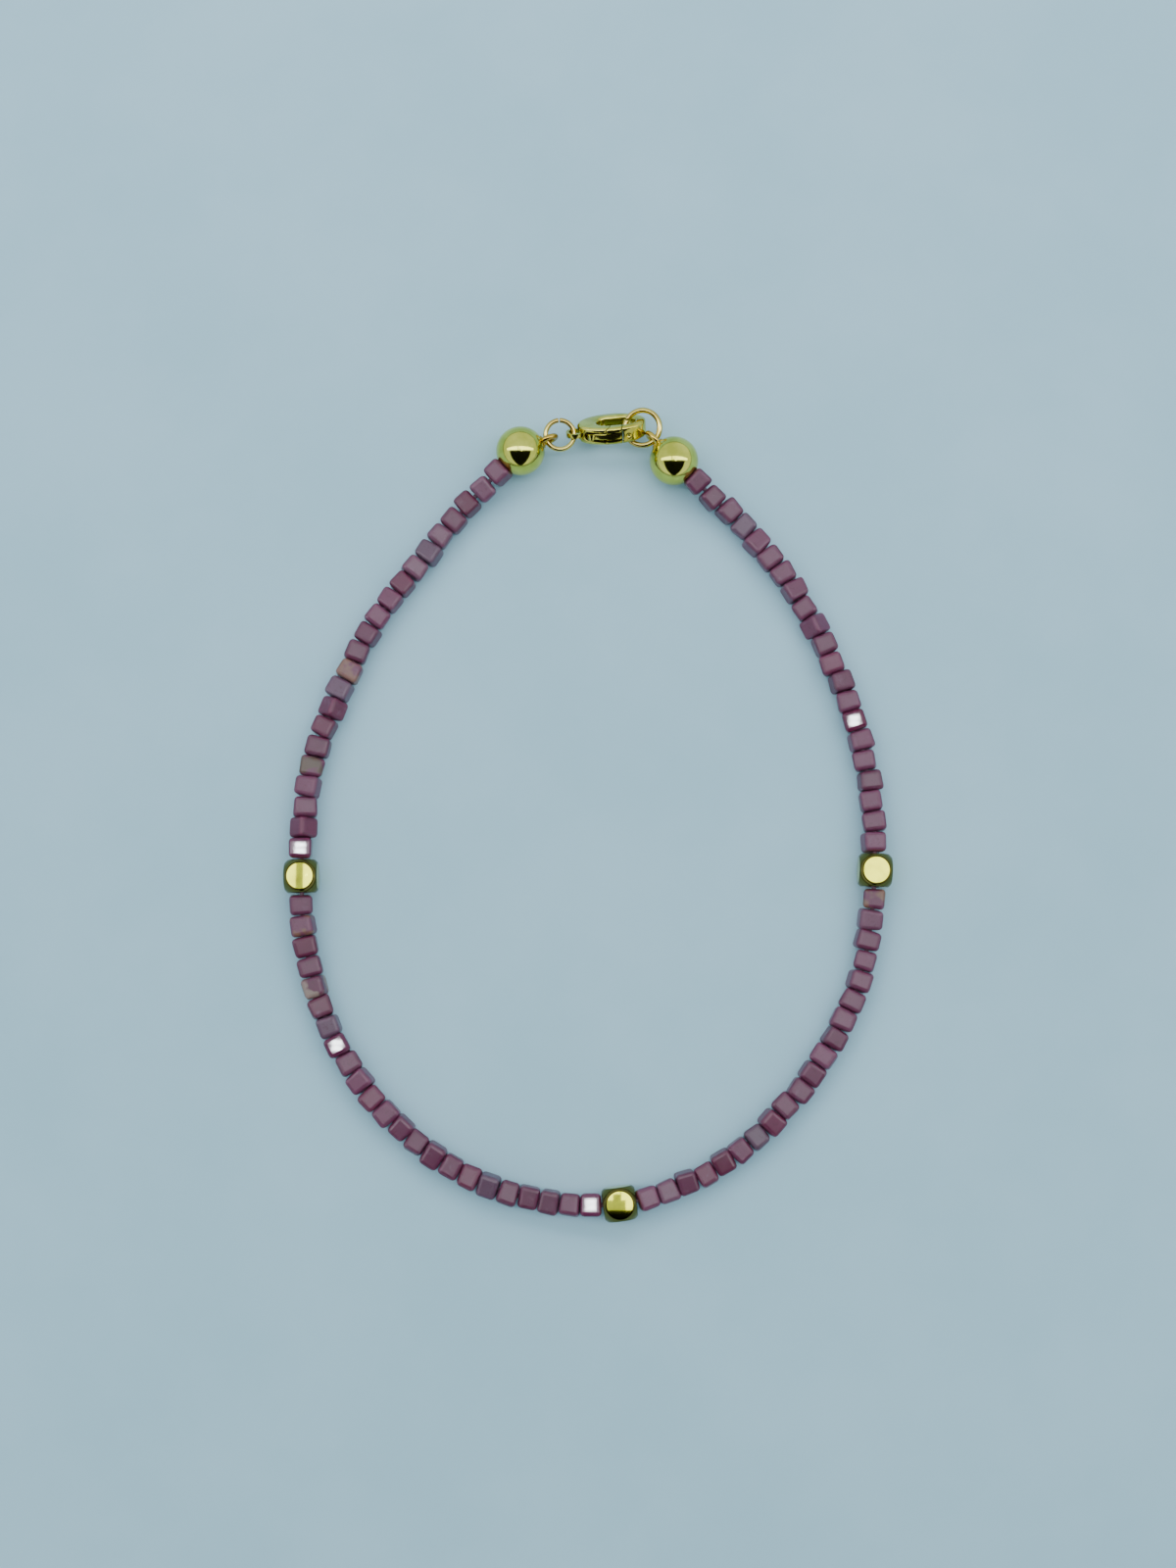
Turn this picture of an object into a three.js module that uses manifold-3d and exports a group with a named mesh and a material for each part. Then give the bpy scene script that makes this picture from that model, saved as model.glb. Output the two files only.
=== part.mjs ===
// Gemstone bracelet, lying closed on a table: a string of small faceted square stones with three gold
// cubes, two hollow gold end balls that hide the knots, two jump rings and a lobster clasp.
// Millimetres, +Z up. The origin is the bottom centre of the whole bracelet's box.

import * as THREE from 'three';
import { mergeVertices } from 'three/addons/utils/BufferGeometryUtils.js';
import Module from 'manifold-3d';

const wasm = await Module();
wasm.setup();

// Stones and thread
const STONE_WIDTH = 2.0;
const STONE_LENGTH = 1.71;
const STONE_EDGE_CUT = 0.3;
const STONE_END_CUT = 0.16;
const STONE_GAP = 0.115;
const STONE_ROLL = THREE.MathUtils.degToRad(13);
const STONE_ROLL_STEP = 2.4;
const STONE_ON_EDGE = THREE.MathUtils.degToRad(45);
const THREAD_DIAMETER = 0.4;
const THREAD_SIDES = 6;
const THREAD_JOIN_GAP = 0.3;
const KNOT_DIAMETER = 2.0;

// Gold cubes
const CUBE_WIDTH = 2.9;
const CUBE_ROUNDING_DIAMETER = 3.64;
const CUBE_BORE = 1.0;
const CUBE_GAP = 0.18;

// End balls, each with a small hoop
const BALL_DIAMETER = 4.35;
const BALL_WALL = 0.32;
const BALL_BORE = 1.5;
const BALL_GAP = 0.14;
const HOOP_HOLE = 1.1;
const HOOP_WIRE = 0.4;

// Jump rings
const LEFT_RING_DIAMETER = 3.0;
const LEFT_RING_WIRE = 0.45;
const RIGHT_RING_DIAMETER = 3.6;
const RIGHT_RING_WIRE = 0.5;
const RING_GAP = 0.12;
const RING_TILT = THREE.MathUtils.degToRad(10);

// Lobster clasp
const CLASP_LENGTH = 7.15;
const CLASP_HEIGHT = 3.8;
const CLASP_THICKNESS = 1.6;
const CLASP_EDGE_ROUNDING = 0.3;
const CLASP_ARM = 0.95;
const CLASP_FRONT_ARM = 1.75;
const CLASP_BEAK_LENGTH = 2.1;
const CLASP_LOOP_DIAMETER = 1.6;
const CLASP_LOOP_HOLE = 1.1;
const CLASP_LOOP_THICKNESS = 0.4;
const CLASP_LOOP_OVERLAP = 0.55;
const LEVER_SETBACK = 0.82;
const LEVER_TAIL_LENGTH = 1.45;
const LEVER_TAIL_THICKNESS = 0.54;
const LEVER_TAIL_ROUNDING = 0.1;
const LEVER_KNOB_DIAMETER = 0.7;
const LEVER_KNOB_DEPTH = 0.52;
const LEVER_KNUCKLE_DIAMETER = 1.1;
const LEVER_PIN_DIAMETER = 0.45;
const LEVER_PIN_DEPTH = 0.62;
const LEVER_SLOT_DEPTH = 1.5;
const LEVER_SLOT_END_GAP = 0.3;
const LEVER_GAP = 0.08;

// How the closed chain lies: angles seen from above, the clasp's lean from upright
const CLASP_LEAN = THREE.MathUtils.degToRad(36);
const CLASP_TURN = THREE.MathUtils.degToRad(5);
const LEFT_BALL_ANGLE = THREE.MathUtils.degToRad(202.5);
const RIGHT_BALL_ANGLE = THREE.MathUtils.degToRad(-47);
const RING_IN_LOOP_SLACK = 0.08;
const RIGHT_RING_SLACK = 0.68;
const LEFT_RING_CENTRE = new THREE.Vector2(-2.5, 31.05);

// The stones' string as it lies, from the left end ball to the right one, seen from above
const STONES_BETWEEN_CUBES = [22, 23, 20, 21];
const STONES_ON_EDGE = [15, 21, 77];
const STRING_ROUTE = [
  [-10.4, 25.3], [-15.1, 19.6], [-19.4, 13.6], [-22.5, 7.1], [-24.8, -0.1],
  [-25.25, -7.9], [-24.6, -15.7], [-22.1, -22.8], [-18.1, -28.7], [-11.9, -33.7], [-5.9, -36.3],
  [2.4, -36.9], [10.0, -34.5], [15.8, -30.1], [21.1, -23.5], [24.2, -16.2],
  [25.25, -8.2], [24.95, -0.4], [23.2, 6.9], [19.9, 14.5], [15.1, 21.6],
];
const STRING_REST_HEIGHT = 1.05;
const CUBE_LIFT_REACH = 8;
const BALL_LIFT_REACH = 9;

// Fineness of the meshes
const RING_SIDES = 16;
const WIRE_SIDES = 6;
const BALL_SIDES = 16;
const CUBE_SIDES = 16;
const OUTLINE_SEGMENTS = 10;
const HOLE_SIDES = 12;
const GATE_SIDES = 40;
const WELD = 1e-4;
const ROUTE_DIVISIONS = 1200;

const GOLD = new THREE.MeshStandardMaterial({ color: 0xc9bb5a, roughness: 0.18, metalness: 1.0 });
const STONE = new THREE.MeshStandardMaterial({ color: 0x9a5a78, roughness: 0.3, metalness: 0.0 });

// Solids and meshes

function solid(geometry) {
  geometry.deleteAttribute('normal');
  geometry.deleteAttribute('uv');
  const welded = mergeVertices(geometry, WELD);
  return new wasm.Manifold(new wasm.Mesh({
    numProp: 3,
    vertProperties: new Float32Array(welded.attributes.position.array),
    triVerts: new Uint32Array(welded.index.array),
  }));
}

function unite(solids) {
  return wasm.Manifold.union(solids);
}

function namedMesh(name, shape, material) {
  const result = shape.getMesh();
  const geometry = new THREE.BufferGeometry();
  geometry.setAttribute('position', new THREE.BufferAttribute(result.vertProperties, 3));
  geometry.setIndex(new THREE.BufferAttribute(result.triVerts, 1));
  geometry.computeVertexNormals();
  const mesh = new THREE.Mesh(geometry, material);
  mesh.name = name;
  return mesh;
}

function ball(diameter, sides) {
  return solid(new THREE.SphereGeometry(diameter / 2, sides, Math.round(sides * 0.75)));
}

// Round bar along z, with its middle at (x, y)
function crossPin(diameter, length, x, y, sides = RING_SIDES) {
  const pin = new THREE.CylinderGeometry(diameter / 2, diameter / 2, length, sides);
  pin.rotateX(Math.PI / 2);
  pin.translate(x, y, 0);
  return solid(pin);
}

function block(fromX, toX, fromY, toY, thickness) {
  const box = new THREE.BoxGeometry(toX - fromX, toY - fromY, thickness);
  box.translate((fromX + toX) / 2, (fromY + toY) / 2, 0);
  return solid(box);
}

function along(angle, distance) {
  return new THREE.Vector2(Math.cos(angle), Math.sin(angle)).multiplyScalar(distance);
}

// The clasp stands on its spine and leans: its own x runs along it, its y from the spine to the lever

const claspLift = CLASP_EDGE_ROUNDING * (1 - Math.cos(CLASP_LEAN))
  + (CLASP_THICKNESS / 2 - CLASP_EDGE_ROUNDING) * Math.sin(CLASP_LEAN);
const ballHeight = BALL_DIAMETER / 2;
const claspLoop = new THREE.Vector2(
  CLASP_LOOP_DIAMETER / 2,
  (ballHeight - claspLift) / Math.cos(CLASP_LEAN),
);
const claspBodyStart = CLASP_LOOP_DIAMETER - CLASP_LOOP_OVERLAP;
const claspMiddle = new THREE.Vector2((CLASP_LENGTH + claspBodyStart) / 2, CLASP_HEIGHT / 2);
const throatEnd = CLASP_LENGTH - CLASP_ARM;
const throatStart = claspBodyStart + CLASP_FRONT_ARM;
const throatRadius = CLASP_HEIGHT / 2 - CLASP_ARM;
const beakStart = CLASP_LENGTH - CLASP_BEAK_LENGTH;
const leverTailEnd = claspBodyStart + LEVER_SETBACK;
const leverPivot = new THREE.Vector2(leverTailEnd + LEVER_TAIL_LENGTH, CLASP_HEIGHT - LEVER_PIN_DEPTH);
const leverHeadReach = beakStart - LEVER_GAP - leverPivot.x;
const slotFloor = CLASP_HEIGHT - LEVER_SLOT_DEPTH;
const throughClasp = 2 * CLASP_LENGTH;

function claspOutline() {
  const outline = new THREE.Shape();
  const halfLength = (CLASP_LENGTH - claspBodyStart) / 2;
  outline.absellipse(claspMiddle.x, claspMiddle.y, halfLength, CLASP_HEIGHT / 2, 0, 2 * Math.PI, false, 0);
  const throat = new THREE.Path();
  const half = Math.PI / 2;
  throat.absarc(throatEnd - throatRadius, claspMiddle.y, throatRadius, -half, half, false);
  throat.absarc(throatStart + throatRadius, claspMiddle.y, throatRadius, half, 3 * half, false);
  throat.closePath();
  outline.holes.push(throat);
  return outline;
}

function claspBlank(thickness, rounding) {
  const blank = new THREE.ExtrudeGeometry(claspOutline(), {
    depth: thickness - 2 * rounding,
    curveSegments: OUTLINE_SEGMENTS,
    bevelThickness: rounding,
    bevelSize: rounding,
    bevelOffset: -rounding,
    bevelSegments: 2,
  });
  blank.translate(0, 0, rounding - thickness / 2);
  return solid(blank);
}

// The lever's head fills the gate between the knuckle and the beak, whose faces are both round its pin
function gate(gap) {
  const reach = crossPin(2 * (leverHeadReach + gap), throughClasp, leverPivot.x, leverPivot.y, GATE_SIDES);
  const knuckle = crossPin(LEVER_KNUCKLE_DIAMETER + 2 * (LEVER_GAP - gap), throughClasp, leverPivot.x, leverPivot.y);
  const swing = block(leverPivot.x, CLASP_LENGTH, claspMiddle.y + throatRadius / 2, throughClasp, throughClasp);
  return reach.intersect(swing).subtract(knuckle);
}

function makeClaspBody() {
  const slotWidth = LEVER_TAIL_THICKNESS + 2 * LEVER_GAP;
  const slot = block(leverTailEnd - LEVER_SLOT_END_GAP, beakStart, slotFloor, throughClasp, slotWidth);
  const arms = claspBlank(CLASP_THICKNESS, CLASP_EDGE_ROUNDING).subtract(gate(LEVER_GAP)).subtract(slot);
  const loop = crossPin(CLASP_LOOP_DIAMETER, CLASP_LOOP_THICKNESS, claspLoop.x, claspLoop.y);
  const loopHole = crossPin(CLASP_LOOP_HOLE, throughClasp, claspLoop.x, claspLoop.y);
  const pin = crossPin(LEVER_PIN_DIAMETER, CLASP_THICKNESS, leverPivot.x, leverPivot.y);
  return namedMesh('clasp_body', unite([arms, loop]).subtract(loopHole).add(pin), GOLD);
}

function makeClaspLever() {
  const headMiddle = leverPivot.x + leverHeadReach / 2;
  const tail = claspBlank(LEVER_TAIL_THICKNESS, LEVER_TAIL_ROUNDING)
    .intersect(block(leverTailEnd, headMiddle, slotFloor + LEVER_GAP, throughClasp, throughClasp));
  const head = claspBlank(CLASP_THICKNESS, CLASP_EDGE_ROUNDING).intersect(gate(0));
  const knobX = leverTailEnd + LEVER_KNOB_DIAMETER / 2;
  const knob = crossPin(LEVER_KNOB_DIAMETER, LEVER_TAIL_THICKNESS, knobX, CLASP_HEIGHT - LEVER_KNOB_DEPTH);
  const pinHole = crossPin(LEVER_PIN_DIAMETER + 2 * LEVER_GAP, throughClasp, leverPivot.x, leverPivot.y);
  return namedMesh('clasp_lever', unite([tail, head, knob]).subtract(pinHole), GOLD);
}

// The chain's places, worked out from the left ring to the right ball

const leftRingRadius = (LEFT_RING_DIAMETER - LEFT_RING_WIRE) / 2;
const rightRingRadius = (RIGHT_RING_DIAMETER - RIGHT_RING_WIRE) / 2;
const loopCentre = along(CLASP_TURN, leftRingRadius + RING_IN_LOOP_SLACK).add(LEFT_RING_CENTRE);
const rightRingCentre = along(
  CLASP_TURN,
  throatEnd - claspLoop.x - RIGHT_RING_SLACK - RIGHT_RING_WIRE / 2 + rightRingRadius,
).add(loopCentre);
const leftBallCentre = ballBeyondRing(LEFT_RING_CENTRE, LEFT_BALL_ANGLE, LEFT_RING_DIAMETER);
const rightBallCentre = ballBeyondRing(rightRingCentre, RIGHT_BALL_ANGLE, RIGHT_RING_DIAMETER);

function ballBeyondRing(ringCentre, angle, ringDiameter) {
  return along(angle, ringDiameter / 2 + RING_GAP + BALL_DIAMETER / 2).add(ringCentre);
}

// A ring lies flat, tipped about the line to its ball, so that it leads into the leaning clasp
function makeRing(name, centre, diameter, wire, ballAngle) {
  const ring = solid(new THREE.TorusGeometry((diameter - wire) / 2, wire / 2, WIRE_SIDES, RING_SIDES));
  const mesh = namedMesh(name, ring, GOLD);
  const towardsRight = Math.cos(ballAngle) > 0 ? ballAngle : ballAngle + Math.PI;
  const tipLine = new THREE.Vector3(Math.cos(towardsRight), Math.sin(towardsRight), 0);
  mesh.quaternion.setFromAxisAngle(tipLine, RING_TILT);
  mesh.position.set(centre.x, centre.y, ballHeight);
  return mesh;
}

function makeClasp() {
  const clasp = new THREE.Group();
  clasp.add(makeClaspBody(), makeClaspLever());
  clasp.rotation.set(Math.PI / 2 + CLASP_LEAN, 0, CLASP_TURN, 'ZYX');
  const loop = new THREE.Vector3(claspLoop.x, claspLoop.y, 0).applyEuler(clasp.rotation);
  clasp.position.set(loopCentre.x, loopCentre.y, ballHeight).sub(loop);
  return clasp;
}

// The string's route: its chosen points spread from the chain's middle until the stones and cubes fill it

const stonePitch = STONE_LENGTH + STONE_GAP;
const cubePitch = CUBE_WIDTH + 2 * CUBE_GAP - STONE_GAP;
const stoneCount = STONES_BETWEEN_CUBES.reduce((sum, count) => sum + count, 0);
const cubeCount = STONES_BETWEEN_CUBES.length - 1;
const ballSeat = Math.sqrt((BALL_DIAMETER / 2) ** 2 - (BALL_BORE / 2) ** 2) + BALL_GAP;
const stringLength = 2 * ballSeat - STONE_GAP + stoneCount * stonePitch + cubeCount * cubePitch;

function routeCurve(spread) {
  const middle = leftBallCentre.clone().add(rightBallCentre).multiplyScalar(0.5);
  const points = STRING_ROUTE.map(([x, y]) => new THREE.Vector2(x, y).sub(middle).multiplyScalar(spread).add(middle));
  const flat = [leftBallCentre, ...points, rightBallCentre].map((p) => new THREE.Vector3(p.x, p.y, 0));
  const curve = new THREE.CatmullRomCurve3(flat, false, 'centripetal');
  curve.arcLengthDivisions = ROUTE_DIVISIONS;
  return curve;
}

function fittedRoute() {
  let low = 0.2;
  let high = 5;
  for (let step = 0; step < 40; step += 1) {
    const middle = (low + high) / 2;
    if (routeCurve(middle).getLength() < stringLength) {
      low = middle;
    } else {
      high = middle;
    }
  }
  return routeCurve(low);
}

const route = fittedRoute();

// Distances along the string: every stone's and every cube's middle
function stringPlaces() {
  const stones = [];
  const cubes = [];
  let reached = ballSeat - STONE_GAP;
  STONES_BETWEEN_CUBES.forEach((count, section) => {
    for (let index = 0; index < count; index += 1) {
      stones.push(reached + STONE_GAP + STONE_LENGTH / 2);
      reached += stonePitch;
    }
    if (section < cubeCount) {
      cubes.push(reached + CUBE_GAP + CUBE_WIDTH / 2);
      reached += cubePitch;
    }
  });
  return { stones, cubes };
}

const places = stringPlaces();

// Share of a lift that is left at a distance from what lifts the string
function easing(distance, reach) {
  return distance < reach ? (1 + Math.cos(Math.PI * distance / reach)) / 2 : 0;
}

// The string rests low, and rises to the bores of the cubes and the end balls
function stringHeight(distance) {
  const lifts = places.cubes.map((place) => easing(Math.abs(distance - place), CUBE_LIFT_REACH)
    * (CUBE_WIDTH / 2 - STRING_REST_HEIGHT));
  const fromBall = Math.min(distance, stringLength - distance);
  lifts.push(easing(fromBall, BALL_LIFT_REACH) * (ballHeight - STRING_REST_HEIGHT));
  return STRING_REST_HEIGHT + lifts.reduce((sum, lift) => sum + lift, 0);
}

function stringPoint(distance) {
  const inside = THREE.MathUtils.clamp(distance / stringLength, 0, 1);
  const point = route.getPointAt(inside);
  point.z = stringHeight(distance);
  return point;
}

function stringDirection(distance) {
  const step = STONE_LENGTH / 4;
  const back = Math.max(distance - step, 0);
  const ahead = Math.min(distance + step, stringLength);
  return stringPoint(ahead).sub(stringPoint(back)).normalize();
}

// Turns z onto the string's direction and keeps y as near to upright as it goes
function stringFrame(distance) {
  const forward = stringDirection(distance);
  const side = new THREE.Vector3(0, 0, 1).cross(forward).normalize();
  const up = forward.clone().cross(side);
  return new THREE.Matrix4().makeBasis(side, up, forward);
}

// A stone is a square bar with its four long edges and both its ends cut to facets; one that would reach
// into the table is lifted onto it

function stoneOutline() {
  const half = STONE_WIDTH / 2;
  const flat = half - STONE_EDGE_CUT;
  return new THREE.Shape([
    [half, flat], [flat, half], [-flat, half], [-half, flat],
    [-half, -flat], [-flat, -half], [flat, -half], [half, -flat],
  ].map(([x, y]) => new THREE.Vector2(x, y)));
}

function stoneRoll(number) {
  return STONES_ON_EDGE.includes(number) ? STONE_ON_EDGE : STONE_ROLL * Math.sin(number * STONE_ROLL_STEP);
}

function makeStone(number) {
  const stone = new THREE.ExtrudeGeometry(stoneOutline(), {
    depth: STONE_LENGTH - 2 * STONE_END_CUT,
    bevelThickness: STONE_END_CUT,
    bevelSize: STONE_END_CUT,
    bevelOffset: -STONE_END_CUT,
    bevelSegments: 1,
  });
  stone.translate(0, 0, STONE_END_CUT - STONE_LENGTH / 2);
  stone.rotateZ(stoneRoll(number));
  const distance = places.stones[number - 1];
  stone.applyMatrix4(stringFrame(distance).setPosition(stringPoint(distance)));
  stone.computeBoundingBox();
  stone.translate(0, 0, Math.max(0, -stone.boundingBox.min.z));
  return solid(stone);
}

function makeThread(from, to) {
  const count = Math.round((to - from) / stonePitch);
  const points = Array.from({ length: count + 1 }, (_, i) => stringPoint(from + (to - from) * i / count));
  const section = new THREE.Shape(Array.from({ length: THREAD_SIDES }, (_, i) => (
    along(2 * Math.PI * i / THREAD_SIDES, THREAD_DIAMETER / 2)
  )));
  return solid(new THREE.ExtrudeGeometry(section, {
    steps: count,
    extrudePath: new THREE.CatmullRomCurve3(points),
    bevelEnabled: false,
  }));
}

function makeKnot(distance) {
  const knot = new THREE.IcosahedronGeometry(KNOT_DIAMETER / 2, 1);
  knot.translate(...stringPoint(distance));
  return solid(knot);
}

// One half of the string, from its end knot to the middle of the cube that both halves meet in
function makeString(name, firstStone, lastStone, knotAt, meetAt) {
  const stones = [];
  for (let number = firstStone; number <= lastStone; number += 1) {
    stones.push(makeStone(number));
  }
  const thread = makeThread(Math.min(knotAt, meetAt), Math.max(knotAt, meetAt));
  return namedMesh(name, unite([thread, makeKnot(knotAt), ...stones]), STONE);
}

function makeStringHalves() {
  const leftCount = STONES_BETWEEN_CUBES[0] + STONES_BETWEEN_CUBES[1];
  const meeting = places.cubes[1];
  return [
    makeString('bead_string_left', 1, leftCount, 0, meeting - THREAD_JOIN_GAP / 2),
    makeString('bead_string_right', leftCount + 1, stoneCount, stringLength, meeting + THREAD_JOIN_GAP / 2),
  ];
}

// A gold cube is rounded by a ball and drilled along the string

function makeCube(name, distance) {
  const box = solid(new THREE.BoxGeometry(CUBE_WIDTH, CUBE_WIDTH, CUBE_WIDTH));
  const bore = solid(new THREE.CylinderGeometry(CUBE_BORE / 2, CUBE_BORE / 2, 2 * CUBE_WIDTH, HOLE_SIDES));
  const mesh = namedMesh(name, box.intersect(ball(CUBE_ROUNDING_DIAMETER, CUBE_SIDES)).subtract(bore), GOLD);
  const direction = stringDirection(distance);
  mesh.rotation.z = Math.atan2(direction.y, direction.x) - Math.PI / 2;
  mesh.position.copy(stringPoint(distance)).setZ(CUBE_WIDTH / 2);
  return mesh;
}

// An end ball is a hollow shell: the string goes in at its bore, and its hoop holds the jump ring

function makeEndBall(name, centre, hoopAngle, stringDistance) {
  const hoopPlace = along(hoopAngle, (BALL_DIAMETER + HOOP_HOLE) / 2 - HOOP_WIRE / 4);
  const hoop = new THREE.TorusGeometry((HOOP_HOLE + HOOP_WIRE) / 2, HOOP_WIRE / 2, WIRE_SIDES, RING_SIDES);
  hoop.rotateX(Math.PI / 2);
  hoop.rotateZ(hoopAngle);
  hoop.translate(hoopPlace.x, hoopPlace.y, 0);
  const bore = new THREE.CylinderGeometry(BALL_BORE / 2, BALL_BORE / 2, BALL_DIAMETER, HOLE_SIDES);
  bore.translate(0, BALL_DIAMETER / 2, 0);
  const away = stringDirection(stringDistance).multiplyScalar(stringDistance > 0 ? -1 : 1);
  bore.applyQuaternion(new THREE.Quaternion().setFromUnitVectors(new THREE.Vector3(0, 1, 0), away));
  const shell = unite([ball(BALL_DIAMETER, BALL_SIDES), solid(hoop)])
    .subtract(ball(BALL_DIAMETER - 2 * BALL_WALL, HOLE_SIDES))
    .subtract(solid(bore));
  const mesh = namedMesh(name, shell, GOLD);
  mesh.position.set(centre.x, centre.y, ballHeight);
  return mesh;
}

function makeBracelet() {
  const bracelet = new THREE.Group();
  bracelet.add(...makeStringHalves());
  ['gold_cube_left', 'gold_cube_bottom', 'gold_cube_right'].forEach((name, index) => {
    bracelet.add(makeCube(name, places.cubes[index]));
  });
  bracelet.add(
    makeEndBall('end_ball_left', leftBallCentre, LEFT_BALL_ANGLE + Math.PI, 0),
    makeEndBall('end_ball_right', rightBallCentre, RIGHT_BALL_ANGLE + Math.PI, stringLength),
    makeRing('jump_ring_left', LEFT_RING_CENTRE, LEFT_RING_DIAMETER, LEFT_RING_WIRE, LEFT_BALL_ANGLE),
    makeRing('jump_ring_right', rightRingCentre, RIGHT_RING_DIAMETER, RIGHT_RING_WIRE, RIGHT_BALL_ANGLE),
    makeClasp(),
  );
  return bracelet;
}

const bracelet = makeBracelet();
const bounds = new THREE.Box3().setFromObject(bracelet, true);
const middle = bounds.getCenter(new THREE.Vector3());
bracelet.position.set(-middle.x, -middle.y, -bounds.min.z);

const group = new THREE.Group();
group.add(bracelet);

export default group;
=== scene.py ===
import math
import random

import bmesh
import bpy
from mathutils import Color, Matrix, Vector


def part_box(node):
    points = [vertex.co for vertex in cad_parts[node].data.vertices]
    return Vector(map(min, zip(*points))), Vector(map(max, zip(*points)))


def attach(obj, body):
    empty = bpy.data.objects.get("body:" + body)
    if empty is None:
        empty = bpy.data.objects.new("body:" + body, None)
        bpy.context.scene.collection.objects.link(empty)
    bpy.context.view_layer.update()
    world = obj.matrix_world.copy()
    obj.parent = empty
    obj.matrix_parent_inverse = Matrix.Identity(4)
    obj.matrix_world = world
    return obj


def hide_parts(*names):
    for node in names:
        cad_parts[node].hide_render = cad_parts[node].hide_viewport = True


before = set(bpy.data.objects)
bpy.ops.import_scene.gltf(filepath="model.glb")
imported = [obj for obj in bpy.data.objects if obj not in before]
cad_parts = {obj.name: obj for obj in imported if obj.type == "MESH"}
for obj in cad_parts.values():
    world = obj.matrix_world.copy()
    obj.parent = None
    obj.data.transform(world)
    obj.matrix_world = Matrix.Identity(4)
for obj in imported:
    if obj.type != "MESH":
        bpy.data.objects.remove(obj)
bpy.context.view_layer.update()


# Camera -------------------------------------------------------------------------------------------
# A telephone held about 20 cm above the table, a little in front of the bracelet's middle and
# tipped forward by a few degrees.

camera_distance = 0.2009
camera_tip = math.radians(5.3)
camera_aim = Vector((-0.000025, 0.002370, 0))
camera_lens, sensor_width, nearest_seen = 51.975, 36, 0.005

camera = bpy.data.objects.new("camera", bpy.data.cameras.new("camera"))
camera.data.lens = camera_lens
camera.data.sensor_width = sensor_width
camera.data.clip_start = nearest_seen
camera_line = Vector((0, -math.sin(camera_tip), math.cos(camera_tip)))
camera.location = camera_aim + camera_distance * camera_line
camera.rotation_euler = (camera_tip, 0, 0)
bpy.context.scene.collection.objects.link(camera)
bpy.context.scene.camera = camera


# Table --------------------------------------------------------------------------------------------
# A plain pale sheet that fills the view. Its faint mottling keeps the polished gold's reflection of
# it from looking empty.

class Shade:
    """One socket of a material's nodes; a sum, difference or product adds a Math node."""

    def __init__(self, tree, socket=None):
        self.tree, self.socket = tree, socket

    def node(self, kind, settings=None, inputs=None, out=0):
        """Adds a node: first its settings, then the values or links of its sockets."""
        made = self.tree.nodes.new(kind)
        for name, value in (settings or {}).items():
            setattr(made, name, value)
        for name, value in (inputs or {}).items():
            if isinstance(value, Shade):
                self.tree.links.new(value.socket, made.inputs[name])
            else:
                made.inputs[name].default_value = value
        return Shade(self.tree, made.outputs[out])

    def maths(self, operation, first, second):
        return self.node("ShaderNodeMath", {"operation": operation}, {0: first, 1: second})

    def __add__(self, other):
        return self.maths("ADD", self, other)

    def __mul__(self, other):
        return self.maths("MULTIPLY", self, other)

    def __rsub__(self, other):
        return self.maths("SUBTRACT", other, self)

    __radd__, __rmul__ = __add__, __mul__

    def mix(self, first, second):
        """Goes from the first colour to the second as this shade goes from 0 to 1."""
        inputs = {0: self, 6: first, 7: second}
        return self.node("ShaderNodeMix", {"data_type": "RGBA"}, inputs, out=2)

    def between(self, low, high):
        """0 below the low value, 1 above the high one, smooth in between."""
        inputs = {"Value": self, "From Min": low, "From Max": high}
        return self.node("ShaderNodeMapRange", {"interpolation_type": "SMOOTHSTEP"}, inputs)

    def noise(self, size, detail=2.0, roughness=0.5, distortion=0.0):
        """Clouds of about this size in metres, from 0 to 1, over these coordinates."""
        inputs = {"Vector": self, "Scale": 1 / size, "Detail": detail, "Roughness": roughness,
                  "Distortion": distortion}
        return self.node("ShaderNodeTexNoise", None, inputs)

    def bump(self, height, strength):
        inputs = {"Height": self, "Distance": height, "Strength": strength}
        return self.node("ShaderNodeBump", None, inputs)


def new_finish(name, fixed):
    """A material with its shader's fixed values set, its object coordinates and a linker."""
    material = bpy.data.materials.new(name)
    material.use_nodes = True
    shader = material.node_tree.nodes["Principled BSDF"]
    for socket, value in fixed.items():
        shader.inputs[socket].default_value = value
    tree = material.node_tree

    def link(**varying):
        for socket, shade in varying.items():
            tree.links.new(shade.socket, shader.inputs[socket.replace("_", " ")])

    return material, Shade(tree).node("ShaderNodeTexCoord", out="Object"), link


def rgb(*channels):
    """A colour from its red, green and blue as a paint chart gives them, 0 to 255."""
    return (*Color([c / 255 for c in channels]).from_srgb_to_scene_linear(), 1)


def start_piece():
    """Leaves edit mode and selects nothing."""
    if bpy.context.mode != "OBJECT":
        bpy.ops.object.mode_set(mode="OBJECT")
    bpy.ops.object.select_all(action="DESELECT")


table_size = 12
table_finish, place, link = new_finish("pale_table", {"Specular IOR Level": 0.2})
mottle = place.noise(0.02, 4, 0.6)
link(Base_Color=mottle.between(0.3, 0.7).mix(rgb(163, 198, 213), rgb(170, 203, 218)),
     Roughness=0.85 + 0.1 * mottle)

start_piece()
bpy.ops.mesh.primitive_plane_add(size=table_size)
table = bpy.context.object
table.name = "table"
table.data.materials.append(table_finish)


# Light --------------------------------------------------------------------------------------------
# Plain soft light under a pale ceiling. The polished gold shows a row of bright panels with gaps
# between them, and the dark card that stands behind the camera. A window beyond the bracelet lights
# its far sides but shows in no mirror, and two tiny lamps make the stones' glints.

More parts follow.
